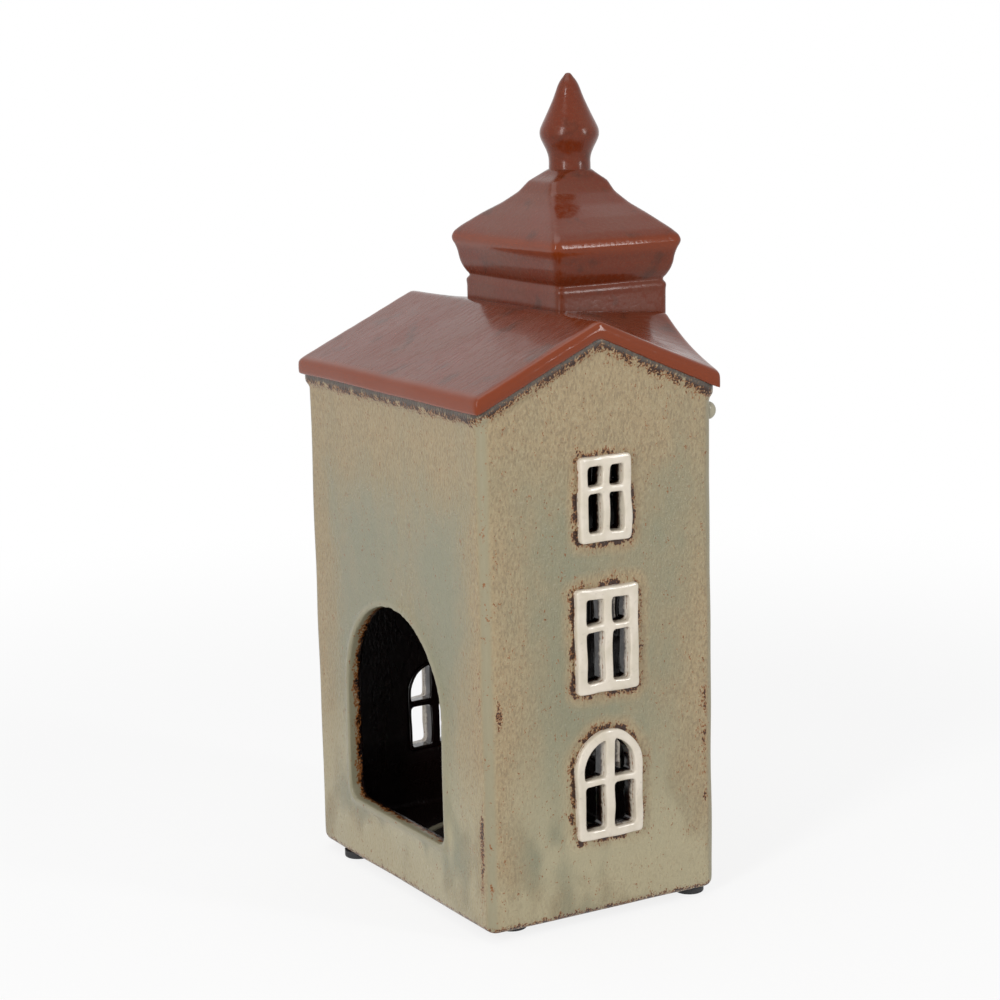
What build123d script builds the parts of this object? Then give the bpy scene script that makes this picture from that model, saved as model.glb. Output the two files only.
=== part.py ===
from build123d import *
import os

# A glazed ceramic tealight house. Millimetres, +Z up, resting on its feet at z = 0.
# Until place() moves them, the pieces are drawn about the middle of the house body,
# with the ceramic underside at z = 0, the front gable towards -Y and the tealight
# arch in the -X wall.

# House body
body_width = 103.0
body_depth = 142.0
wall = 6.0
floor_thickness = 8.0
corner_radius = 4.0
inner_corner_radius = 3.0
base_edge_radius = 3.6
bed_mould_reach = 1.6
bed_mould_drop = 3.5

# Roof: heights are those of the middle of its thickness
eave_height = 201.4
roof_rise = 24.5
roof_overhang = 2.6
roof_thickness = 7.0
sweep_rise = 20.7
sweep_flat_half = 37.0
sweep_straight_share = 0.66
sweep_power = 2.5
sweep_stations = 8

# Tealight arch in the -X wall
arch_width = 78.0
arch_sill_height = 26.6
arch_height = 86.5
arch_offset = 2.0
arch_corner_radius = 4.5
arch_lip = 2.6
arch_lip_proud = 0.9

# Tower: a low rectangular turret with a moulded side and a hipped cap
tower_offset = 30.0
cornice_half_x = 29.5
cornice_half_y = 40.9
cornice_above_ridge = 27.5
cornice_rise = 19.0
plinth_lap = 1.2
cap_height = 27.3
cap_lean = 3.2
cap_lean_power = 2
tower_corner_radius = 2.4
tower_neck_round_share = 0.96
tower_wall = 5.0
throat_half_x = 13.0
throat_half_y = 20.0
# height below the cornice as a share of cornice_rise, then the half sizes as shares
tower_side_shares = (
    (1.0, 0.855, 0.88),
    (0.92, 0.868, 0.89),
    (0.87, 0.856, 0.88),
    (0.84, 0.825, 0.855),
    (0.78, 0.822, 0.852),
    (0.74, 0.86, 0.885),
    (0.68, 0.875, 0.9),
    (0.62, 0.893, 0.92),
    (0.46, 0.924, 0.944),
    (0.33, 0.934, 0.95),
    (0.17, 0.96, 0.97),
    (0.08, 0.99, 0.992),
    (0.0, 1.0, 1.0),
)
# height above the cornice as a share of cap_height, then the half sizes as shares
tower_cap_shares = (
    (0.08, 0.975, 0.98),
    (0.17, 0.91, 0.908),
    (0.36, 0.755, 0.7),
    (0.52, 0.62, 0.491),
    (0.68, 0.51, 0.334),
    (0.83, 0.447, 0.252),
    (0.92, 0.318, 0.21),
    (1.0, 0.267, 0.197),
)
cavity_top_share = 0.55
cavity_neck_share = 0.42

# Finial: revolved spire on the cap
finial_radius = 11.8
finial_height = 37.4
# height as a share of finial_height, radius as a share of finial_radius
finial_profile_shares = (
    (0.0, 0.7),
    (0.12, 0.7),
    (0.25, 0.86),
    (0.38, 1.0),
    (0.47, 0.9),
    (0.64, 0.64),
    (0.8, 0.43),
    (0.93, 0.24),
    (0.98, 0.13),
)
finial_tip_share = 0.12

# Windows: white frames set into openings in the wall, each with four panes
window_centre = 1.2
window_proud = 2.5
window_lap = 2.0
pane_radius = 1.2
frame_radius = 1.6
frame_edge_radius = 0.8
transom = 2.6
upper_width = 22.8
upper_height = 32.5
upper_border = 3.6
middle_width = 27.6
middle_height = 40.7
middle_border = 4.2
arched_width = 29.5
arched_height = 42.3
arched_border = 3.6
mullion_share = 0.135
# heights on the wall as shares of eave_height
upper_head_share = 0.8875
middle_sill_share = 0.4372
arched_sill_share = 0.1524
lower_pane_share = 0.66
arched_lower_pane_share = 0.54

# String course under the swept eave of the +X side
course_drop = 11.2
course_radius = 3.6
course_inset = 2.4

# Feet: round rubber pads
foot_radius = 5.8
foot_height = 3.0
foot_edge_radius = 0.6
# each foot's centre as shares of the half width and half depth: they were stuck on by eye
foot_place_shares = {
    "front_left": (-0.674, -0.811),
    "front_right": (0.87, -0.869),
    "back_left": (-0.874, 0.711),
    "back_right": (0.87, 0.82),
}

# Ring on the floor that centres a candle
ring_wall_gap = 6.5
ring_width = 3.0
ring_height = 1.2
ring_edge_radius = 0.5

# Tealight
cup_radius = 19.0
cup_height = 16.0
cup_wall = 0.4
cup_rim_radius = 0.35
wax_height = 13.2
wax_clearance = 0.05
wax_dip = 0.6
tab_radius = 6.5
tab_thickness = 0.4
wick_radius = 0.8
wick_height = 8.0
wick_lean = 6.0

# One overrun for every cut
overrun = 5.0

half_width = body_width / 2
half_depth = body_depth / 2
roof_reach_x = half_width + roof_overhang
roof_reach_y = half_depth + roof_overhang
half_thickness = roof_thickness / 2
ridge_height = eave_height + roof_rise
cornice_height = ridge_height + cornice_above_ridge
cornice_reach_x = tower_offset + cornice_half_x
house_shift = (roof_reach_x - max(roof_reach_x, cornice_reach_x)) / 2
cap_top = cornice_height + cap_height
inner_half_x = half_width - wall
inner_half_y = half_depth - wall
ring_radius = inner_half_x - ring_wall_gap - ring_width / 2
upper_sill = eave_height * upper_head_share - upper_height
middle_sill = eave_height * middle_sill_share
arched_sill = eave_height * arched_sill_share


def place(piece):
    """Moves a piece from the house's own axes to the part's: centred, standing on its feet."""
    return Pos(house_shift, 0, foot_height) * piece


def edge_height(y):
    """Height of the +X roof edge: low at the gables, swept up to the tower."""
    way = min(max((roof_reach_y - abs(y)) / (roof_reach_y - sweep_flat_half), 0), 1)
    curve = sweep_straight_share * way + (1 - sweep_straight_share) * way**sweep_power
    return eave_height + sweep_rise * curve


def sweep_places():
    """The y places from the front gable to the start of the level part of the edge."""
    span = roof_reach_y - sweep_flat_half
    return [-roof_reach_y + span * step / sweep_stations for step in range(sweep_stations + 1)]


def section(points, y):
    """A closed outline of (x, z) points, standing across the house at y."""
    return make_face(Polyline(*[(x, y, z) for x, z in points], close=True))


def right_half(outline):
    """The +X half of a roof form, whose outline(y) gives (x, z) points."""
    near = loft([section(outline(y), y) for y in sweep_places()])
    flat = extrude(section(outline(0), -sweep_flat_half), sweep_flat_half * 2, dir=(0, 1, 0))
    return near + flat + mirror(near, about=Plane.XZ)


def left_half(points):
    return extrude(section(points, -roof_reach_y), roof_reach_y * 2, dir=(0, 1, 0))


def under_roof(lift):
    """Everything from the ground up to the roof's middle surface, raised by lift."""
    ridge = (0, ridge_height + lift)
    left = [(-roof_reach_x, 0), (0, 0), ridge, (-roof_reach_x, eave_height + lift)]
    right = lambda y: [(0, 0), (roof_reach_x, 0), (roof_reach_x, edge_height(y) + lift), ridge]
    return left_half(left) + right_half(right)


def wall_prism(reach, radius):
    """The house's plan, grown by reach, up past the ridge."""
    plan = RectangleRounded(body_width + reach * 2, body_depth + reach * 2, radius)
    return extrude(plan, ridge_height + overrun)


def arch_outline(grow):
    """The tealight arch's outline in its wall, grown all round."""
    width = arch_width + grow * 2
    spring = arch_height - arch_width / 2
    lower = Pos(0, (spring - grow) / 2) * Rectangle(width, spring + grow)
    low_corners = lower.vertices().group_by(Axis.Y)[0]
    lower = fillet(low_corners, arch_corner_radius + grow)
    return lower + Pos(0, spring) * Circle(width / 2)


def arch_plane(depth):
    """The arch's drawing plane, depth inside the -X wall's outer face."""
    middle = (-half_width + depth, arch_offset, arch_sill_height)
    return Plane(origin=middle, x_dir=(0, -1, 0), z_dir=(-1, 0, 0))


def house_body():
    solid = fillet(wall_prism(0, corner_radius).edges().group_by(Axis.Z)[0], base_edge_radius)
    mould = wall_prism(bed_mould_reach, corner_radius + bed_mould_reach)
    solid += mould - under_roof(-half_thickness - bed_mould_drop)
    inside = RectangleRounded(inner_half_x * 2, inner_half_y * 2, inner_corner_radius)
    solid -= Pos(0, 0, floor_thickness) * extrude(inside, ridge_height + overrun)
    solid = solid & under_roof(-half_thickness)
    lip = extrude(arch_plane(0) * arch_outline(arch_lip), arch_lip_proud)
    solid += chamfer(lip.edges().group_by(Axis.X)[0], arch_lip_proud / 2)
    solid -= extrude(arch_plane(wall + overrun) * arch_outline(0), wall + overrun * 2)
    for frame in window_frames():
        solid -= frame["hole"]
    return solid


def roof():
    """The bent slab, its swept +X edge and the throat that opens into the tower."""
    low_left = eave_height - half_thickness
    low_ridge = ridge_height - half_thickness
    left = [
        (-roof_reach_x, low_left),
        (0, low_ridge),
        (0, low_ridge + roof_thickness),
        (-roof_reach_x, low_left + roof_thickness),
    ]
    right = lambda y: [
        (0, low_ridge),
        (roof_reach_x, edge_height(y) - half_thickness),
        (roof_reach_x, edge_height(y) + half_thickness),
        (0, low_ridge + roof_thickness),
    ]
    slab = left_half(left) + right_half(right)
    throat = Box(throat_half_x * 2, throat_half_y * 2, sweep_rise + roof_thickness + overrun)
    return slab - Pos(tower_offset, 0, ridge_height) * throat


def tower_ring(z, half_x, half_y, radius, lean=0):
    return Pos(tower_offset + lean, 0, z) * RectangleRounded(half_x * 2, half_y * 2, radius)


def tower():
    """Moulded sides and hipped cap, hollow, seated on the roof."""
    low = edge_height(0) + half_thickness - plinth_lap
    levels = [(low, *tower_side_shares[0][1:])]
    for drop, x_share, y_share in tower_side_shares:
        levels.append((cornice_height - cornice_rise * drop, x_share, y_share))
    rings = [tower_ring(z, cornice_half_x * x, cornice_half_y * y, tower_corner_radius) for z, x, y in levels]
    for rise, x_share, y_share in tower_cap_shares[:-1]:
        z = cornice_height + cap_height * rise
        half_x, half_y = cornice_half_x * x_share, cornice_half_y * y_share
        rings.append(tower_ring(z, half_x, half_y, tower_corner_radius, cap_lean * rise**cap_lean_power))
    neck_x = cornice_half_x * tower_cap_shares[-1][1]
    neck_y = cornice_half_y * tower_cap_shares[-1][2]
    neck_radius = min(neck_x, neck_y) * tower_neck_round_share
    rings.append(tower_ring(cap_top, neck_x, neck_y, neck_radius, cap_lean))
    solid = loft(rings, ruled=True)
    room_x = cornice_half_x * tower_side_shares[2][1] - tower_wall
    room_y = cornice_half_y * tower_side_shares[2][2] - tower_wall
    high = cornice_height + cap_height * cavity_top_share
    room = extrude(tower_ring(low, room_x, room_y, tower_corner_radius), cornice_height - low)
    room += extrude(tower_ring(low, room_x, room_y, tower_corner_radius), -overrun)
    neck = tower_ring(high, room_x * cavity_neck_share, room_y * cavity_neck_share, tower_corner_radius)
    room += loft([tower_ring(cornice_height, room_x, room_y, tower_corner_radius), neck], ruled=True)
    return solid - room - under_roof(half_thickness)


def finial():
    side = [(finial_radius * r, finial_height * h) for h, r in finial_profile_shares]
    tip = (0, finial_height)
    edge = Spline(*side, tip, tangents=((0, 1), (-1, finial_tip_share)))
    profile = make_face([edge, Line(tip, (0, 0)), Line((0, 0), side[0])])
    return Pos(tower_offset + cap_lean, 0, cap_top) * revolve(Plane.XZ * profile, Axis.Z)


def window_outline(width, height, radius, arched):
    """A window outline that stands on y = 0: a rounded rectangle, or one with a round head."""
    if not arched:
        return Pos(0, height / 2) * RectangleRounded(width, height, radius)
    spring = height - width / 2
    lower = Pos(0, spring / 2) * Rectangle(width, spring)
    lower = fillet(lower.vertices().group_by(Axis.Y)[0], radius)
    return lower + Pos(0, spring) * Circle(width / 2)


def pane_sheet(width, height, border, low_share, arched):
    """The four panes of one window, as one sketch."""
    mullion = width * mullion_share
    pane_width = (width - border * 2 - mullion) / 2
    panes_height = height - border * 2 - transom
    low_height = panes_height * low_share
    high_height = panes_height - low_height
    high_place = border + low_height + transom
    side = (pane_width + mullion) / 2
    inside = Pos(0, border) * window_outline(width - border * 2, height - border * 2, pane_radius, arched)
    panes = []
    for x in (-side, side):
        low_place = Pos(x, border + low_height / 2)
        panes.append(low_place * RectangleRounded(pane_width, low_height, pane_radius))
        high_middle = Pos(x, high_place + high_height / 2)
        if arched:
            panes.append(inside & high_middle * Rectangle(pane_width, high_height))
        else:
            panes.append(high_middle * RectangleRounded(pane_width, high_height, pane_radius))
    return Sketch() + panes


def window(name, plane, width, height, border, low_share, arched):
    """One frame, seated in its opening, and the hole that the wall needs for it."""
    outline = window_outline(width, height, frame_radius, arched)
    hole_outline = Pos(0, window_lap) * window_outline(
        width - window_lap * 2, height - window_lap * 2, frame_radius, arched
    )
    panes = pane_sheet(width, height, border, low_share, arched)
    flange = extrude(plane * outline, window_proud)
    face_edges = flange.faces().sort_by(Axis(plane.origin, plane.z_dir))[-1].edges()
    flange = fillet(face_edges, frame_edge_radius)
    deep = plane.offset(-wall)
    solid = flange + extrude(deep * hole_outline, wall)
    solid -= extrude(plane.offset(-wall - overrun) * panes, wall + window_proud + overrun * 2)
    hole = extrude(plane.offset(-wall - overrun) * hole_outline, wall + overrun)
    return {"name": name, "solid": solid, "hole": hole}


def window_frames():
    """The nine windows: three on each gable and three on the +X side."""
    sides = (
        ("front", (window_centre, -half_depth), (1, 0, 0), (0, -1, 0)),
        ("back", (window_centre, half_depth), (-1, 0, 0), (0, 1, 0)),
        ("side", (half_width, 0), (0, 1, 0), (1, 0, 0)),
    )
    kinds = (
        ("upper", upper_sill, upper_width, upper_height, upper_border, lower_pane_share, False),
        ("middle", middle_sill, middle_width, middle_height, middle_border, lower_pane_share, False),
        ("arched", arched_sill, arched_width, arched_height, arched_border, arched_lower_pane_share, True),
    )
    frames = []
    for side, (x, y), across, out in sides:
        for kind, sill, width, height, border, low_share, arched in kinds:
            name = f"{side}_{kind}_window"
            plane = Plane(origin=(x, y, sill), x_dir=across, z_dir=out)
            frames.append(window(name, plane, width, height, border, low_share, arched))
    return frames


def string_course():
    """Half-round moulding along the +X wall."""
    length = body_depth - (corner_radius - course_inset) * 2
    bar = Cylinder(course_radius, length, rotation=(90, 0, 0))
    bar = fillet(bar.edges(), course_inset)
    outside = (Align.MIN, Align.CENTER, Align.CENTER)
    half = Box(course_radius * 2, body_depth, course_radius * 2, align=outside)
    return Pos(half_width, 0, eave_height - course_drop) * (bar & half)


def foot(x, y):
    pad = Pos(0, 0, -foot_height / 2) * Cylinder(foot_radius, foot_height)
    return Pos(x, y) * fillet(pad.edges().group_by(Axis.Z)[0], foot_edge_radius)


def seat_ring():
    ring = Circle(ring_radius + ring_width / 2) - Circle(ring_radius - ring_width / 2)
    solid = extrude(ring, ring_height)
    solid = fillet(solid.edges().group_by(Axis.Z)[-1], ring_edge_radius)
    return Pos(0, 0, floor_thickness) * solid


def cup():
    """Thin metal cup with a rolled rim."""
    shell = Pos(0, 0, cup_height / 2) * Cylinder(cup_radius, cup_height)
    inside = Pos(0, 0, cup_height / 2 + cup_wall) * Cylinder(cup_radius - cup_wall, cup_height)
    rim = Pos(0, 0, cup_height - cup_rim_radius) * Torus(cup_radius, cup_rim_radius)
    return Pos(0, 0, floor_thickness) * (shell - inside + rim)


def wick_tab():
    tab = Pos(0, 0, tab_thickness / 2) * Cylinder(tab_radius, tab_thickness)
    return Pos(0, 0, floor_thickness + cup_wall) * tab


def wick():
    """Round wick that leans a little where it stands out of the wax."""
    low = floor_thickness + cup_wall + tab_thickness
    top = floor_thickness + cup_wall + wax_height - wax_dip
    straight = Pos(0, 0, (low + top) / 2) * Cylinder(wick_radius, top - low)
    upper = extrude(Circle(wick_radius), wick_height)
    lean = Pos(0, 0, top) * Rot(0, wick_lean, 0)
    return straight + lean * upper + Pos(0, 0, top) * Sphere(wick_radius)


def wax():
    """Candle wax round the wick, dished at the top."""
    radius = cup_radius - cup_wall - wax_clearance
    block = Pos(0, 0, wax_height / 2) * Cylinder(radius, wax_height)
    dish_radius = (radius**2 + wax_dip**2) / (wax_dip * 2)
    block -= Pos(0, 0, wax_height - wax_dip + dish_radius) * Sphere(dish_radius)
    return Pos(0, 0, floor_thickness + cup_wall) * block - wick_tab() - wick()


def all_pieces():
    pieces = {"house_body": house_body(), "roof": roof(), "tower": tower(), "finial": finial()}
    for frame in window_frames():
        pieces[frame["name"]] = frame["solid"]
    pieces["side_string_course"] = string_course()
    pieces["floor_ring"] = seat_ring()
    for corner, (x_share, y_share) in foot_place_shares.items():
        pieces["foot_" + corner] = foot(half_width * x_share, half_depth * y_share)
    pieces["tealight_cup"] = cup()
    pieces["tealight_wax"] = wax()
    pieces["tealight_wick"] = wick()
    pieces["tealight_wick_tab"] = wick_tab()
    return pieces


os.makedirs("parts", exist_ok=True)
for name, piece in all_pieces().items():
    placed = place(piece)
    export_step(placed, f"parts/{name}.step")
    box = placed.bounding_box()
    print(name, round(piece.volume, 1), box.min, box.max)
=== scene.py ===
from math import cos, radians, sin

import bmesh
import bpy
import numpy as np
from mathutils import Matrix, Vector, noise
from mathutils.bvhtree import BVHTree


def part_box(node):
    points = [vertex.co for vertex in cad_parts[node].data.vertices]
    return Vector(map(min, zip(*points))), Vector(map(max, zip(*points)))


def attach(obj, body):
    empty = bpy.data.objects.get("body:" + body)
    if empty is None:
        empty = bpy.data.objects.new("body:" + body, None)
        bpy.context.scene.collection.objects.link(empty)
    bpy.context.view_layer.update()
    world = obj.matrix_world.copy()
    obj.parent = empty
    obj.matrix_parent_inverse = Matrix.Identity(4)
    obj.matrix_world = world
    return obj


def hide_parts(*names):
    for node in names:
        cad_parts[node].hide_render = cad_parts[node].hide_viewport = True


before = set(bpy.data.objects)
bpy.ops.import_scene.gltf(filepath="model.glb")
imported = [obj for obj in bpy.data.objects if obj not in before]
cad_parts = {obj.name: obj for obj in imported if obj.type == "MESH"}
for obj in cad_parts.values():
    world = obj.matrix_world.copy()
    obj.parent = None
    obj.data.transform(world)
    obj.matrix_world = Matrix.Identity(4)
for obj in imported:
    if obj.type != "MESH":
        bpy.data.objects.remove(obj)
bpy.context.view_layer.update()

bl_info = {
    "name": "Glazed tealight house",
    "version": (1, 0, 0),
    "blender": (4, 5, 0),
    "location": "3D View > Sidebar > Tealight house",
    "description": "Dresses the glazed ceramic tealight house and its stage",
    "category": "Object",
}

MM = 0.001
WINDOW_SIDES = ("front", "back", "side")
WINDOW_KINDS = ("upper", "middle", "arched")
FEET = ("front_left", "front_right", "back_left", "back_right")
# inward direction of each wall that holds windows
INWARD = {"front": (0, 1, 0), "back": (0, -1, 0), "side": (-1, 0, 0)}
# seed of the smooth noise, which Blender would otherwise take from the clock
NOISE_SEED = 1
# where in the smooth noise each piece starts to wander
SEEDS = {
    "house_body": 3.1,
    "mouldings": 5.3,
    "roof": 7.7,
    "tower": 11.3,
    "finial": 13.9,
    "windows": 17.0,
}
# name, place, width and height in metres, and which power it has
LAMPS = (
    ("left_softbox", (-0.95, -0.55, 0.6), (0.2, 1.0), "key_power"),
    ("right_softbox", (0.6, -1.05, 0.5), (0.14, 0.7), "fill_power"),
    ("top_softbox", (-0.1, 0.1, 1.25), (0.8, 0.8), "top_power"),
)
LAMP_AIM = (0, 0, 0.18)
# points nearer than this are welded
WELD = 0.001 * MM
# a distance beyond every piece
BEYOND = 1
# gaps wider than this look alike to the glazes
WIDE_GAP = 60 * MM
# least cosine between a face and a direction that it looks along
FACING = 0.5
# how far each smoothing pass pulls a point to its neighbours' middle
SMOOTHING = 0.5

body_low, body_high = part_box("house_body")
roof_low, roof_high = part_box("roof")
tower_low, tower_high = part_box("tower")


def length(name, about, value):
    return bpy.props.FloatProperty(
        name=name, description=about, default=value, subtype="DISTANCE", unit="LENGTH"
    )


def number(name, about, value):
    return bpy.props.FloatProperty(name=name, description=about, default=value)


def rounds(name, about, value):
    return bpy.props.IntProperty(name=name, description=about, default=value, min=0)


def colour(name, about, value):
    return bpy.props.FloatVectorProperty(
        name=name, description=about, default=value, size=3, subtype="COLOR", min=0, max=1
    )


class ClaySizes(bpy.types.PropertyGroup):
    """How soft and how hand-made the ceramic is"""

    body_grain: length("Body grain", "Mesh size on the walls", 1.0 * MM)
    roof_grain: length("Roof grain", "Mesh size on the roof and turret", 0.8 * MM)
    window_grain: length("Window grain", "Mesh size on the window frames", 0.4 * MM)
    body_rounds: rounds("Body rounding", "Passes that soften the walls", 5)
    roof_rounds: rounds("Roof rounding", "Passes that soften the roof", 44)
    tower_rounds: rounds("Turret rounding", "Passes that soften the turret and its finial", 8)
    window_rounds: rounds("Frame rounding", "Passes that soften the frames and mouldings", 7)
    wobble: length("Wobble", "How far the walls wander from flat", 0.35 * MM)
    wobble_width: length("Wobble width", "Width of one wave of the wobble", 32 * MM)
    frame_wobble: length("Frame wobble", "How far the window frames wander", 0.5 * MM)
    frame_wobble_width: length("Frame wobble width", "Width of one wave on a frame", 9 * MM)
    bury: length("Bury", "How far a piece runs on into what carries it", 2 * MM)
    wall: length("Wall", "Thickness of the walls", 6 * MM)
    bed_reach: length("Bed mould", "How far the moulding under the roof stands out", 1.6 * MM)
    arch_width: length("Arch width", "Width of the tealight arch", 78 * MM)
    arch_centre: length("Arch centre", "Middle of the arch along Y", 2 * MM)
    arch_sill: length("Arch sill", "Height of the arch's sill", 29.6 * MM)
    arch_top: length("Arch top", "Height of the arch's crown", 116.1 * MM)


class GlazeColours(bpy.types.PropertyGroup):
    """Colours of the glazes"""

    green: colour("Celadon", "Pooled grey-green glaze", (0.238, 0.23, 0.15))
    tan: colour("Tan", "Thin, dry glaze", (0.345, 0.262, 0.15))
    sand: colour("Sand", "Darker specks in the dry glaze", (0.19, 0.145, 0.088))
    pale: colour("Pale", "Thick pale glaze low on the walls", (0.4, 0.35, 0.225))
    rim: colour("Rim", "Smooth glaze on corners and round the arch", (0.275, 0.25, 0.165))
    rust: colour("Rust", "Iron that breaks through the glaze", (0.235, 0.085, 0.022))
    umber: colour("Umber", "Burnt iron along joints", (0.035, 0.013, 0.006))
    ash: colour("Ash", "Grey seam under the roof", (0.075, 0.062, 0.05))
    inside: colour("Inside", "Dark glaze of the inside", (0.006, 0.0022, 0.0018))
    roof: colour("Terracotta", "Roof glaze", (0.135, 0.02, 0.004))
    roof_dusk: colour("Dusk", "Greyer roof glaze where it is thin", (0.13, 0.03, 0.012))
    roof_edge: colour("Roof edge", "Warmer glaze on the roof's edges", (0.2, 0.034, 0.006))
    white: colour("White", "Glaze of the window frames", (0.68, 0.61, 0.51))
    rubber: colour("Rubber", "Feet", (0.008, 0.008, 0.009))
    metal: colour("Metal", "Tealight cup", (0.82, 0.82, 0.83))
    wax: colour("Wax", "Candle wax", (0.86, 0.83, 0.76))
    cotton: colour("Cotton", "Wick", (0.72, 0.68, 0.58))
    worn_rubber: colour("Worn rubber", "Lighter grain of the feet", (0.03, 0.03, 0.032))
    dull_metal: colour("Dull metal", "Scratches on the tealight cup", (0.68, 0.68, 0.7))
    cloudy_wax: colour("Cloudy wax", "Darker clouds in the wax", (0.78, 0.74, 0.66))
    # painted shade: a darker cotton colour that stands for the shade in the grooves between the wick's
    # threads
    painted_groove_shade: colour("Twisted cotton", "Grooves between the wick's threads", (0.5, 0.46, 0.38))


class StageSizes(bpy.types.PropertyGroup):
    """Camera, lamps and floor"""

    camera_x: length("Camera X", "Camera place", -0.49393)
    camera_y: length("Camera Y", "Camera place", -0.83996)
    camera_z: length("Camera Z", "Camera place", 0.34017)
    azimuth: number("Azimuth", "Degrees that the view is turned from the front gable", 30.209)
    elevation: number("Elevation", "Degrees that the view looks down", 10.837)
    roll: number("Roll", "Degrees that the picture leans", 1.3176)
    lens: number("Lens", "Focal length on a 36 mm frame", 89.459)
    floor_side: length("Floor", "Side of the floor", 12.0)
    glow_from: length("Glow from", "Distance at which the floor starts to fade to white", 0.25)
    glow_to: length("Glow to", "Distance at which the floor is white", 0.75)
    floor_glow: number("Floor glow", "Share of white in the floor under the house, as it is seen", 0.82)
    floor_colour: colour("Floor colour", "Pale floor", (0.86, 0.86, 0.86))
    room_colour: colour("Room colour", "Soft light from all round", (1.0, 1.0, 1.0))
    room_strength: number("Room strength", "Strength of the light from all round", 0.42)
    key_power: number("Key power", "Watts of the left lamp", 8.0)
    fill_power: number("Fill power", "Watts of the right lamp", 4.2)
    top_power: number("Top power", "Watts of the overhead lamp", 3.0)


def sizes():
    return bpy.context.scene.clay_sizes


def colours():
    return bpy.context.scene.glaze_colours


def stage_sizes():
    return bpy.context.scene.stage_sizes


# Materials


class Recipe:
    """A node material, written as a recipe of short steps."""

    def __init__(self, name):
        self.material = bpy.data.materials.new(name)
        self.material.use_nodes = True
        self.tree = self.material.node_tree
        self.shader = self.tree.nodes["Principled BSDF"]
        self.place = self.add("ShaderNodeTexCoord").outputs["Object"]

    def add(self, kind, **settings):
        made = self.tree.nodes.new(kind)
        for key, value in settings.items():
            setattr(made, key, value)
        return made

    def feed(self, socket, value):
        if isinstance(value, bpy.types.NodeSocket):
            self.tree.links.new(value, socket)
        elif hasattr(value, "__len__") and len(value) == 3 and len(socket.default_value) == 4:
            socket.default_value = (*value, 1)
        else:
            socket.default_value = value

    def math(self, operation, first, second=0.0, third=0.0):
        made = self.add("ShaderNodeMath", operation=operation)
        self.feed(made.inputs[0], first)
        self.feed(made.inputs[1], second)
        self.feed(made.inputs[2], third)
        return made.outputs[0]

    def ramp(self, value, low, high, to_low=0.0, to_high=1.0):
        made = self.add("ShaderNodeMapRange", interpolation_type="SMOOTHSTEP", clamp=True)
        for socket, given in zip(made.inputs, (value, low, high, to_low, to_high)):
            self.feed(socket, given)
        return made.outputs[0]

    def mix(self, factor, first, second):
        made = self.add("ShaderNodeMix", data_type="RGBA")
        self.feed(made.inputs["Factor"], factor)
        self.feed(made.inputs[6], first)
        self.feed(made.inputs[7], second)
        return made.outputs[2]

    def stretched(self, stretch):
        made = self.add("ShaderNodeVectorMath", operation="MULTIPLY")
        self.feed(made.inputs[0], self.place)
        self.feed(made.inputs[1], stretch)
        return made.outputs[0]

    def noise(self, width, stretch=(1, 1, 1), detail=2.0, rough=0.55):
        """Noise whose features are about width wide, longer where stretch is under 1."""
        made = self.add("ShaderNodeTexNoise")
        self.feed(made.inputs["Vector"], self.stretched(stretch))
        self.feed(made.inputs["Scale"], 1 / width)
        self.feed(made.inputs["Detail"], detail)
        self.feed(made.inputs["Roughness"], rough)
        return made.outputs["Fac"]

    def cells(self, width, stretch=(1, 1, 1), feature="F1"):
        made = self.add("ShaderNodeTexVoronoi", feature=feature)
        self.feed(made.inputs["Vector"], self.stretched(stretch))
        self.feed(made.inputs["Scale"], 1 / width)
        return made.outputs["Distance"]

    def gap(self, name):
        return self.add("ShaderNodeAttribute", attribute_name=name).outputs["Fac"]

    def bump(self, height, strength, distance):
        made = self.add("ShaderNodeBump")
        self.feed(made.inputs["Strength"], strength)
        self.feed(made.inputs["Distance"], distance)
        self.feed(made.inputs["Height"], height)
        self.tree.links.new(made.outputs["Normal"], self.shader.inputs["Normal"])

    def finish(self, **sockets):
        for name, value in sockets.items():
            self.feed(self.shader.inputs[name.replace("_", " ")], value)
        return self.material


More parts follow.
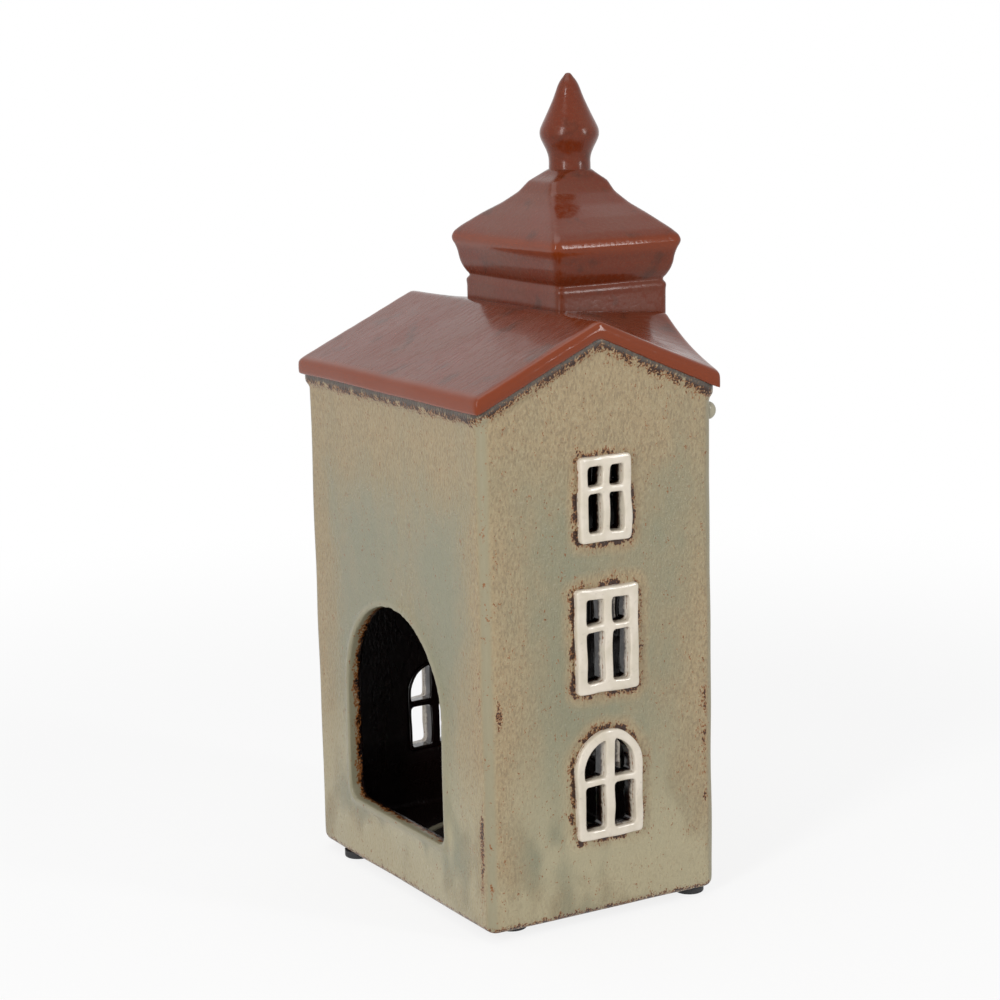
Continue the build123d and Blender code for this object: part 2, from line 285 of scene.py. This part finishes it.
def celadon_glaze():
    """Grey-green glaze that dries to sandy tan at the edges and breaks to rust along joints."""
    c = colours()
    r = Recipe("celadon_glaze")
    corner, eave, frame_gap = r.gap("corner_gap"), r.gap("eave_gap"), r.gap("frame_gap")
    height, depth, arch = r.gap("height"), r.gap("depth"), r.gap("arch_gap")
    broad = r.noise(48 * MM, (1, 1, 0.5), 3)
    patch = r.noise(9 * MM, (1, 1, 0.5), 3)
    coarse = r.noise(3.2 * MM, (1, 1, 0.6), 3)
    uneven = r.noise(6 * MM, (1, 1, 0.6), 2)
    sand = r.noise(0.85 * MM, (1, 1, 0.55), 2)
    grit = r.noise(0.75 * MM, (1, 1, 0.8), 2)
    dry = r.math("MULTIPLY", r.ramp(corner, 34 * MM, 3 * MM), 0.85)
    dry = r.math("MAXIMUM", dry, r.ramp(eave, 70 * MM, 8 * MM))
    dry = r.math("MAXIMUM", dry, r.ramp(frame_gap, 8 * MM, 1 * MM))
    dry = r.math("MAXIMUM", dry, r.ramp(height, 30 * MM, 10 * MM, 0, 0.6))
    dry = r.math("ADD", dry, r.ramp(broad, 0.25, 0.75, -0.3, 0.5))
    dry = r.math("ADD", dry, r.ramp(patch, 0.3, 0.7, -0.12, 0.12))
    dry = r.ramp(dry, -0.1, 1.25)
    base = r.mix(dry, c.green, c.tan)
    runs = r.ramp(r.noise(26 * MM, (1, 1, 0.6), 2), 0.4, 0.54)
    low_run = r.math("MULTIPLY", r.ramp(height, 90 * MM, 15 * MM), runs)
    base = r.mix(r.math("MULTIPLY", low_run, 0.85), base, c.pale)
    smooth = r.ramp(corner, 4.4 * MM, 2.0 * MM)
    smooth = r.math("MAXIMUM", smooth, r.ramp(arch, 3.6 * MM, 1.6 * MM))
    base = r.mix(r.math("MULTIPLY", smooth, 0.85), base, c.rim)
    smooth = r.math("MAXIMUM", smooth, r.math("MULTIPLY", low_run, 0.5))
    bare = r.math("SUBTRACT", 1, smooth)
    specks = r.ramp(sand, 0.46, 0.68, 0, 0.5)
    specks = r.math("MULTIPLY", specks, r.math("MULTIPLY", bare, r.ramp(dry, 0.1, 0.9, 0.15, 1)))
    base = r.mix(specks, base, c.sand)
    lights = r.math("MULTIPLY", r.ramp(sand, 0.46, 0.3, 0, 0.4), r.math("MULTIPLY", bare, dry))
    base = r.mix(lights, base, c.pale)
    rim = r.math("MULTIPLY", r.ramp(frame_gap, 4.2 * MM, 0.8 * MM), r.ramp(uneven, 0.4, 0.6, 0.3, 1.05))
    seam = r.math("MULTIPLY", r.ramp(eave, 7 * MM, 1.0 * MM), r.ramp(uneven, 0.36, 0.6, 0.6, 1.0))
    beside = r.math("MULTIPLY", r.ramp(corner, 8.5 * MM, 6 * MM), r.ramp(corner, 3.4 * MM, 5 * MM))
    beside = r.math("MULTIPLY", beside, r.ramp(r.noise(15 * MM, (1, 1, 0.4), 2), 0.5, 0.66, 0, 0.7))
    foot_edge = r.ramp(height, 4.5 * MM, 1.5 * MM, 0, 0.72)
    near = r.math("MAXIMUM", r.math("MAXIMUM", rim, seam), r.math("MAXIMUM", beside, foot_edge))
    scatter = r.math("ADD", r.math("MULTIPLY", coarse, 0.5), r.math("MULTIPLY", grit, 0.75))
    scatter = r.math("ADD", scatter, r.math("MULTIPLY", near, 0.31))
    base = r.mix(r.ramp(scatter, 0.76, 0.82, 0, 0.9), base, c.rust)
    base = r.mix(r.ramp(scatter, 0.84, 0.88), base, c.umber)
    dots = r.ramp(r.cells(6.5 * MM), 0.08, 0.04, 0, 0.6)
    freckle = r.math("MULTIPLY", dots, r.ramp(dry, 0.55, 0.9))
    base = r.mix(freckle, base, c.rust)
    ash = r.ramp(r.math("ADD", eave, r.math("MULTIPLY", grit, -3 * MM)), 0.3 * MM, -0.9 * MM, 0, 0.9)
    base = r.mix(ash, base, c.ash)
    fade = r.math("ADD", depth, r.math("MULTIPLY", r.math("SUBTRACT", coarse, 0.5), 6 * MM))
    fade = r.math("ADD", fade, r.math("MULTIPLY", r.math("SUBTRACT", grit, 0.5), 5 * MM))
    base = r.mix(r.ramp(fade, 1.8 * MM, 2.8 * MM), base, c.rust)
    base = r.mix(r.ramp(fade, 2.8 * MM, 4.0 * MM), base, c.inside)
    peel = r.math("ADD", sand, r.math("MULTIPLY", coarse, 0.3))
    r.bump(r.math("MULTIPLY", peel, r.math("ADD", bare, 0.25)), 0.6, 0.8 * MM)
    gloss = r.ramp(dry, 0.0, 0.9, 0.2, 0.4)
    gloss_sockets = {"Specular_IOR_Level": 0.3, "Coat_Weight": 0.1, "Coat_Roughness": 0.08}
    return r.finish(Base_Color=base, Roughness=gloss, **gloss_sockets)


def terracotta_glaze(name, streaks):
    """Glossy red-brown glaze with brush streaks and warmer edges."""
    c = colours()
    r = Recipe(name)
    edge = r.gap("edge_gap")
    streak = r.noise(1.7 * MM, streaks, 3)
    broad = r.noise(30 * MM, (1, 1, 1), 3)
    patch = r.noise(12 * MM, (1, 1, 1), 4)
    dusk = r.math("ADD", r.math("MULTIPLY", streak, 0.4), r.math("MULTIPLY", broad, 0.6))
    base = r.mix(r.ramp(dusk, 0.36, 0.64), c.roof, c.roof_dusk)
    base = r.mix(r.ramp(patch, 0.56, 0.7, 0, 0.45), base, c.umber)
    base = r.mix(r.ramp(edge, 4.5 * MM, 0.8 * MM, 0, 0.85), base, c.roof_edge)
    height = r.math("ADD", r.math("MULTIPLY", streak, 0.5), r.math("MULTIPLY", broad, 1.2))
    r.bump(height, 0.22, 0.6 * MM)
    gloss = r.ramp(streak, 0.3, 0.7, 0.14, 0.34)
    gloss = r.math("MINIMUM", gloss, r.ramp(edge, 1 * MM, 5 * MM, 0.1, 0.5))
    gloss_sockets = {"Specular_IOR_Level": 0.2, "Coat_Weight": 0.15, "Coat_Roughness": 0.04}
    return r.finish(Base_Color=base, Roughness=gloss, **gloss_sockets)


def white_glaze():
    """Thick white glaze, thin and brown where it meets the wall."""
    c = colours()
    r = Recipe("white_glaze")
    rise, depth = r.gap("rise"), r.gap("depth")
    grit = r.noise(1.4 * MM, (1, 1, 1), 3)
    broad = r.noise(8 * MM, (1, 1, 1), 2)
    base = r.mix(r.ramp(broad, 0.35, 0.7, 0, 0.3), c.white, c.pale)
    low = r.math("ADD", rise, r.math("MULTIPLY", r.math("SUBTRACT", grit, 0.5), 2.4 * MM))
    low = r.math("ADD", low, r.math("MULTIPLY", r.math("SUBTRACT", broad, 0.5), 2.4 * MM))
    base = r.mix(r.ramp(low, 0.6 * MM, 0.1 * MM, 0, 0.9), base, c.rust)
    fade = r.math("ADD", depth, r.math("MULTIPLY", r.math("SUBTRACT", grit, 0.5), 3 * MM))
    base = r.mix(r.ramp(fade, 0.2 * MM, 2.2 * MM), base, c.umber)
    base = r.mix(r.ramp(fade, 2.0 * MM, 3.4 * MM), base, c.inside)
    r.bump(broad, 0.25, 0.6 * MM)
    gloss = r.ramp(grit, 0.3, 0.7, 0.12, 0.26)
    return r.finish(Base_Color=base, Roughness=gloss, Coat_Weight=0.2, Coat_Roughness=0.05)


def foot_rubber():
    r = Recipe("foot_rubber")
    grain = r.noise(0.7 * MM, (1, 1, 1), 4)
    r.bump(grain, 0.4, 0.15 * MM)
    base = r.mix(grain, colours().rubber, colours().worn_rubber)
    return r.finish(Base_Color=base, Roughness=r.ramp(grain, 0.2, 0.8, 0.55, 0.8))


def cup_metal():
    r = Recipe("cup_metal")
    scratch = r.noise(0.5 * MM, (1, 1, 0.1), 3)
    r.bump(scratch, 0.15, 0.1 * MM)
    base = r.mix(scratch, colours().metal, colours().dull_metal)
    return r.finish(Base_Color=base, Metallic=1.0, Roughness=r.ramp(scratch, 0.3, 0.7, 0.22, 0.4))


def candle_wax():
    r = Recipe("candle_wax")
    cloud = r.noise(5 * MM, (1, 1, 1), 3)
    r.bump(cloud, 0.2, 0.4 * MM)
    base = r.mix(cloud, colours().wax, colours().cloudy_wax)
    gloss = r.ramp(cloud, 0.3, 0.7, 0.35, 0.5)
    return r.finish(Base_Color=base, Roughness=gloss, Subsurface_Weight=0.25)


def wick_cotton():
    r = Recipe("wick_cotton")
    twist = r.noise(0.5 * MM, (1, 1, 0.4), 3)
    r.bump(twist, 0.6, 0.15 * MM)
    # painted shade of the wick's grooves, laid by the twist noise that also bumps the wick
    base = r.mix(r.ramp(twist, 0.35, 0.65), colours().cotton, colours().painted_groove_shade)
    return r.finish(Base_Color=base, Roughness=r.ramp(twist, 0.3, 0.7, 0.7, 0.9))


# Meshes


def clean_copy(node):
    """A welded copy of a CAD node's mesh, ready to be softened."""
    shape = bmesh.new()
    shape.from_mesh(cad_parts[node].data)
    bmesh.ops.remove_doubles(shape, verts=shape.verts, dist=WELD)
    shape.normal_update()
    return shape


def run_on(shape, way, low, high, distance):
    """Moves the faces that look along way, with centres between low and high, further along it."""
    way = Vector(way)
    moved = set()
    for face in shape.faces:
        along = face.calc_center_median().dot(way)
        if face.normal.dot(way) > FACING and low < along < high:
            moved.update(face.verts)
    for vert in moved:
        vert.co += way * distance


def soften(shape, name, grain, rounds):
    """The shape as one even, rounded skin."""
    mesh = bpy.data.meshes.new(name + "_start")
    shape.to_mesh(mesh)
    shape.free()
    start = bpy.data.objects.new(name + "_start", mesh)
    bpy.context.scene.collection.objects.link(start)
    skin = start.modifiers.new("skin", "REMESH")
    skin.mode = "VOXEL"
    skin.voxel_size = grain
    skin.use_smooth_shade = True
    soft = start.modifiers.new("soft", "SMOOTH")
    soft.factor = SMOOTHING
    soft.iterations = rounds
    depsgraph = bpy.context.evaluated_depsgraph_get()
    made = bpy.data.meshes.new_from_object(start.evaluated_get(depsgraph))
    made.name = name
    bpy.data.objects.remove(start)
    bpy.data.meshes.remove(mesh)
    for polygon in made.polygons:
        polygon.use_smooth = True
    piece = bpy.data.objects.new(name, made)
    bpy.context.scene.collection.objects.link(piece)
    return piece


def points_of(mesh):
    flat = np.zeros(len(mesh.vertices) * 3, np.float32)
    mesh.vertices.foreach_get("co", flat)
    return flat.reshape(-1, 3).astype(float)


def set_points(mesh, points):
    mesh.vertices.foreach_set("co", points.astype(np.float32).ravel())
    mesh.update()


def wander(mesh, reach, width, seed):
    """Moves points by smooth noise, up to reach."""
    noise.seed_set(NOISE_SEED)
    points = points_of(mesh)
    start = Vector((seed, seed * 0.37, -seed))
    for index, point in enumerate(points):
        points[index] += np.array(noise.noise_vector(Vector(point) / width + start)) * reach
    set_points(mesh, points)


def put(mesh, name, values):
    layer = mesh.attributes.new(name, "FLOAT", "POINT")
    layer.data.foreach_set("value", values.astype(np.float32))


def tree_of(nodes):
    """A search tree over the CAD meshes of these nodes."""
    verts, faces = [], []
    for node in nodes:
        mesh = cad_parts[node].data
        start = len(verts)
        verts.extend(v.co.copy() for v in mesh.vertices)
        faces.extend([start + i for i in p.vertices] for p in mesh.polygons)
    return BVHTree.FromPolygons(verts, faces)


def gaps(points, tree, most):
    """Each point's distance to the tree, or most where it is further."""
    found = (tree.find_nearest(Vector(point), most)[3] for point in points)
    return np.array([most if distance is None else distance for distance in found])


def window_nodes():
    return [f"{side}_{kind}_window" for side in WINDOW_SIDES for kind in WINDOW_KINDS]


def house_middle():
    return (body_low.x + body_high.x) / 2


def half_sizes():
    reach = sizes().bed_reach
    return (body_high.x - body_low.x) / 2 - reach, (body_high.y - body_low.y) / 2 - reach


def depth_into(points):
    """How far each point lies inside the outer faces of the walls."""
    half_x, half_y = half_sizes()
    in_x = half_x - np.abs(points[:, 0] - house_middle())
    in_y = half_y - np.abs(points[:, 1])
    return in_x, in_y


def arch_gap(points):
    """Distance from the rim of the tealight arch, measured in its wall."""
    s = sizes()
    radius = s.arch_width / 2
    spring = s.arch_top - radius
    across = np.abs(points[:, 1] - s.arch_centre)
    over = points[:, 2] - spring
    head = np.hypot(across, over) - radius
    sides = np.maximum(across - radius, s.arch_sill - points[:, 2])
    return np.abs(np.where(over > 0, head, sides))


def dress_body_points(mesh):
    """Distances that the wall glaze follows, kept on the mesh."""
    s = sizes()
    points = points_of(mesh)
    in_x, in_y = depth_into(points)
    depth = np.minimum(in_x, in_y)
    under = points[:, 2] < body_low.z + s.wall / 3
    depth = np.where(under, 0, np.maximum(depth, 0))
    on_arch_wall = points[:, 0] < house_middle() - half_sizes()[0] + s.wall
    put(mesh, "depth", depth)
    put(mesh, "corner_gap", np.maximum(in_x, in_y))
    put(mesh, "height", points[:, 2] - body_low.z)
    put(mesh, "eave_gap", gaps(points, tree_of(["roof"]), WIDE_GAP))
    put(mesh, "frame_gap", gaps(points, tree_of(window_nodes()), WIDE_GAP))
    put(mesh, "arch_gap", np.where(on_arch_wall, arch_gap(points), WIDE_GAP))


def give(piece, material, slot_name, body, *nodes):
    """Material, body and CAD nodes of a finished piece; the slot name is not used."""
    piece.data.materials.clear()
    piece.data.materials.append(material)
    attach(piece, body)
    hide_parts(*nodes)


def repaint(node, material):
    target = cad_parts[node]
    target.data.materials.clear()
    target.data.materials.append(material)


# Operators


class HouseBody(bpy.types.Operator):
    """Walls and floor under the celadon glaze"""

    bl_idname = "tealight_house.body"
    bl_label = "House body"

    def execute(self, context):
        s = sizes()
        shape = clean_copy("house_body")
        run_on(shape, (0, 0, 1), roof_low.z - s.wall, roof_high.z, s.bury)
        piece = soften(shape, "glazed_house_body", s.body_grain, s.body_rounds)
        wander(piece.data, s.wobble, s.wobble_width, SEEDS["house_body"])
        dress_body_points(piece.data)
        give(piece, celadon_glaze(), "celadon_glaze", "house", "house_body")
        return {"FINISHED"}


class HouseMouldings(bpy.types.Operator):
    """String course on the turret side and the ring on the floor"""

    bl_idname = "tealight_house.mouldings"
    bl_label = "Mouldings"

    def execute(self, context):
        s = sizes()
        for node, way in (("side_string_course", INWARD["side"]), ("floor_ring", (0, 0, -1))):
            shape = clean_copy(node)
            run_on(shape, way, -BEYOND, BEYOND, s.bury / 2)
            piece = soften(shape, "glazed_" + node, s.window_grain, s.window_rounds)
            wander(piece.data, s.wobble, s.wobble_width, SEEDS["mouldings"])
            dress_body_points(piece.data)
            give(piece, bpy.data.materials["celadon_glaze"], "celadon_glaze", "house", node)
        return {"FINISHED"}


class HouseRoof(bpy.types.Operator):
    """Bent roof slab with its swept edge"""

    bl_idname = "tealight_house.roof"
    bl_label = "Roof"

    def execute(self, context):
        s = sizes()
        piece = soften(clean_copy("roof"), "glazed_roof", s.roof_grain, s.roof_rounds)
        wander(piece.data, s.wobble, s.wobble_width, SEEDS["roof"])
        points = points_of(piece.data)
        in_y = roof_high.y - np.abs(points[:, 1])
        in_x = np.minimum(points[:, 0] - roof_low.x, roof_high.x - points[:, 0])
        put(piece.data, "edge_gap", np.minimum(in_x, in_y))
        give(piece, terracotta_glaze("roof_glaze", (0.22, 1, 0.4)), "terracotta_glaze", "house", "roof")
        return {"FINISHED"}


class HouseTower(bpy.types.Operator):
    """Moulded turret, its cap and the finial"""

    bl_idname = "tealight_house.tower"
    bl_label = "Turret and finial"

    def execute(self, context):
        s = sizes()
        material = terracotta_glaze("turret_glaze", (1, 1, 1))
        for node in ("tower", "finial"):
            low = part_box(node)[0].z
            shape = clean_copy(node)
            run_on(shape, (0, 0, -1), -low - s.wall * 2, BEYOND, s.bury)
            piece = soften(shape, "glazed_" + node, s.roof_grain, s.tower_rounds)
            wander(piece.data, s.wobble, s.wobble_width, SEEDS[node])
            points = points_of(piece.data)
            cornice = (tower_low.z + tower_high.z) / 2
            put(piece.data, "edge_gap", np.abs(points[:, 2] - cornice))
            give(piece, material, "terracotta_glaze", "house", node)
        return {"FINISHED"}


class HouseWindows(bpy.types.Operator):
    """The nine white window frames"""

    bl_idname = "tealight_house.windows"
    bl_label = "Windows"

    def execute(self, context):
        s = sizes()
        material = white_glaze()
        for index, node in enumerate(window_nodes()):
            way = Vector(INWARD[node.split("_")[0]])
            low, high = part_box(node)
            along = sorted((low.dot(way), high.dot(way)))
            shape = clean_copy(node)
            run_on(shape, way, along[0], along[1] - s.wall / 2, s.bury / 2)
            piece = soften(shape, "glazed_" + node, s.window_grain, s.window_rounds)
            wander(piece.data, s.frame_wobble, s.frame_wobble_width, SEEDS["windows"] + index)
            points = points_of(piece.data)
            front = along[1] - s.wall
            inward = points @ np.array(way) - front
            put(piece.data, "depth", np.maximum(inward, 0))
            put(piece.data, "rise", np.where(inward > 0, BEYOND, -inward))
            give(piece, material, "white_glaze", "house", node)
        return {"FINISHED"}


class HouseFeet(bpy.types.Operator):
    """Rubber feet"""

    bl_idname = "tealight_house.feet"
    bl_label = "Feet"

    def execute(self, context):
        material = foot_rubber()
        for corner in FEET:
            repaint("foot_" + corner, material)
        return {"FINISHED"}


class Tealight(bpy.types.Operator):
    """Cup, wax, wick and tab"""

    bl_idname = "tealight_house.tealight"
    bl_label = "Tealight"

    def execute(self, context):
        metal = cup_metal()
        repaint("tealight_cup", metal)
        repaint("tealight_wick_tab", metal)
        repaint("tealight_wax", candle_wax())
        repaint("tealight_wick", wick_cotton())
        return {"FINISHED"}


class Stage(bpy.types.Operator):
    """Camera, lamps, room light and floor"""

    bl_idname = "tealight_house.stage"
    bl_label = "Stage"

    def execute(self, context):
        place_camera()
        make_floor()
        light_room()
        return {"FINISHED"}


def place_camera():
    g = stage_sizes()
    turn, tilt, lean = radians(g.azimuth), radians(g.elevation), radians(g.roll)
    ahead = Vector((sin(turn) * cos(tilt), cos(turn) * cos(tilt), -sin(tilt)))
    level = ahead.cross(Vector((0, 0, 1))).normalized()
    down = ahead.cross(level)
    right = level * cos(lean) + down * sin(lean)
    up = right.cross(ahead)
    data = bpy.data.cameras.new("photo_camera")
    data.sensor_width = 36
    data.lens = g.lens
    camera = bpy.data.objects.new("photo_camera", data)
    turned = Matrix((right, up, -ahead)).transposed().to_4x4()
    camera.matrix_world = Matrix.Translation((g.camera_x, g.camera_y, g.camera_z)) @ turned
    bpy.context.scene.collection.objects.link(camera)
    bpy.context.scene.camera = camera


def make_floor():
    g = stage_sizes()
    half = g.floor_side / 2
    mesh = bpy.data.meshes.new("floor")
    corners = [(-half, -half, 0), (half, -half, 0), (half, half, 0), (-half, half, 0)]
    mesh.from_pydata(corners, [], [(0, 1, 2, 3)])
    floor = bpy.data.objects.new("floor", mesh)
    bpy.context.scene.collection.objects.link(floor)
    r = Recipe("pale_floor")
    rays = r.add("ShaderNodeLightPath")
    seen = r.math("MAXIMUM", rays.outputs["Is Camera Ray"], rays.outputs["Is Glossy Ray"])
    seen = r.math("MAXIMUM", seen, rays.outputs["Is Transmission Ray"])
    glow = r.add("ShaderNodeEmission")
    both = r.add("ShaderNodeMixShader")
    away = r.add("ShaderNodeVectorMath", operation="LENGTH")
    r.feed(away.inputs[0], r.place)
    share = r.ramp(away.outputs["Value"], g.glow_from, g.glow_to, g.floor_glow, 1)
    r.feed(both.inputs[0], r.math("MULTIPLY", seen, share))
    r.tree.links.new(r.shader.outputs[0], both.inputs[1])
    r.tree.links.new(glow.outputs[0], both.inputs[2])
    r.tree.links.new(both.outputs[0], r.tree.nodes["Material Output"].inputs["Surface"])
    mesh.materials.append(r.finish(Base_Color=tuple(g.floor_colour), Roughness=0.9))


def light_room():
    g = stage_sizes()
    world = bpy.data.worlds.new("room")
    world.use_nodes = True
    tree = world.node_tree
    soft = tree.nodes["Background"]
    soft.inputs["Color"].default_value = (*g.room_colour, 1)
    soft.inputs["Strength"].default_value = g.room_strength
    white = tree.nodes.new("ShaderNodeBackground")
    white.inputs["Strength"].default_value = 1
    white.inputs["Color"].default_value = (1, 1, 1, 1)
    rays = tree.nodes.new("ShaderNodeLightPath")
    both = tree.nodes.new("ShaderNodeMixShader")
    seen = rays.outputs["Is Camera Ray"]
    for kind in ("Is Glossy Ray", "Is Transmission Ray"):
        either = tree.nodes.new("ShaderNodeMath")
        either.operation = "MAXIMUM"
        tree.links.new(seen, either.inputs[0])
        tree.links.new(rays.outputs[kind], either.inputs[1])
        seen = either.outputs[0]
    tree.links.new(seen, both.inputs[0])
    tree.links.new(soft.outputs[0], both.inputs[1])
    tree.links.new(white.outputs[0], both.inputs[2])
    tree.links.new(both.outputs[0], tree.nodes["World Output"].inputs["Surface"])
    bpy.context.scene.world = world
    bpy.context.scene.view_settings.view_transform = "Standard"
    for name, place, (wide, high), power in LAMPS:
        lamp(name, place, wide, high, getattr(g, power))


def lamp(name, place, wide, high, power):
    data = bpy.data.lights.new(name, "AREA")
    data.shape = "RECTANGLE"
    data.size = wide
    data.size_y = high
    data.energy = power
    made = bpy.data.objects.new(name, data)
    made.location = place
    made.rotation_euler = (Vector(LAMP_AIM) - Vector(place)).to_track_quat("-Z", "Y").to_euler()
    bpy.context.scene.collection.objects.link(made)


OPERATORS = (HouseBody, HouseMouldings, HouseRoof, HouseTower, HouseWindows, HouseFeet, Tealight, Stage)


class HousePanel(bpy.types.Panel):
    """Lists the pieces of the tealight house"""

    bl_idname = "VIEW3D_PT_tealight_house"
    bl_label = "Tealight house"
    bl_space_type = "VIEW_3D"
    bl_region_type = "UI"
    bl_category = "Tealight house"

    def draw(self, context):
        for made in OPERATORS:
            self.layout.operator(made.bl_idname)
        for group in (context.scene.clay_sizes, context.scene.glaze_colours, context.scene.stage_sizes):
            for name in group.bl_rna.properties.keys():
                if name not in ("rna_type", "name"):
                    self.layout.prop(group, name)


GROUPS = {"clay_sizes": ClaySizes, "glaze_colours": GlazeColours, "stage_sizes": StageSizes}


def register():
    for made in (*GROUPS.values(), *OPERATORS, HousePanel):
        bpy.utils.register_class(made)
    for name, group in GROUPS.items():
        setattr(bpy.types.Scene, name, bpy.props.PointerProperty(type=group))


def unregister():
    for name in GROUPS:
        delattr(bpy.types.Scene, name)
    for made in reversed((*GROUPS.values(), *OPERATORS, HousePanel)):
        bpy.utils.unregister_class(made)


def main():
    register()
    bpy.ops.tealight_house.body()
    bpy.ops.tealight_house.mouldings()
    bpy.ops.tealight_house.roof()
    bpy.ops.tealight_house.tower()
    bpy.ops.tealight_house.windows()
    bpy.ops.tealight_house.feet()
    bpy.ops.tealight_house.tealight()
    bpy.ops.tealight_house.stage()


if __name__ == "__main__":
    main()
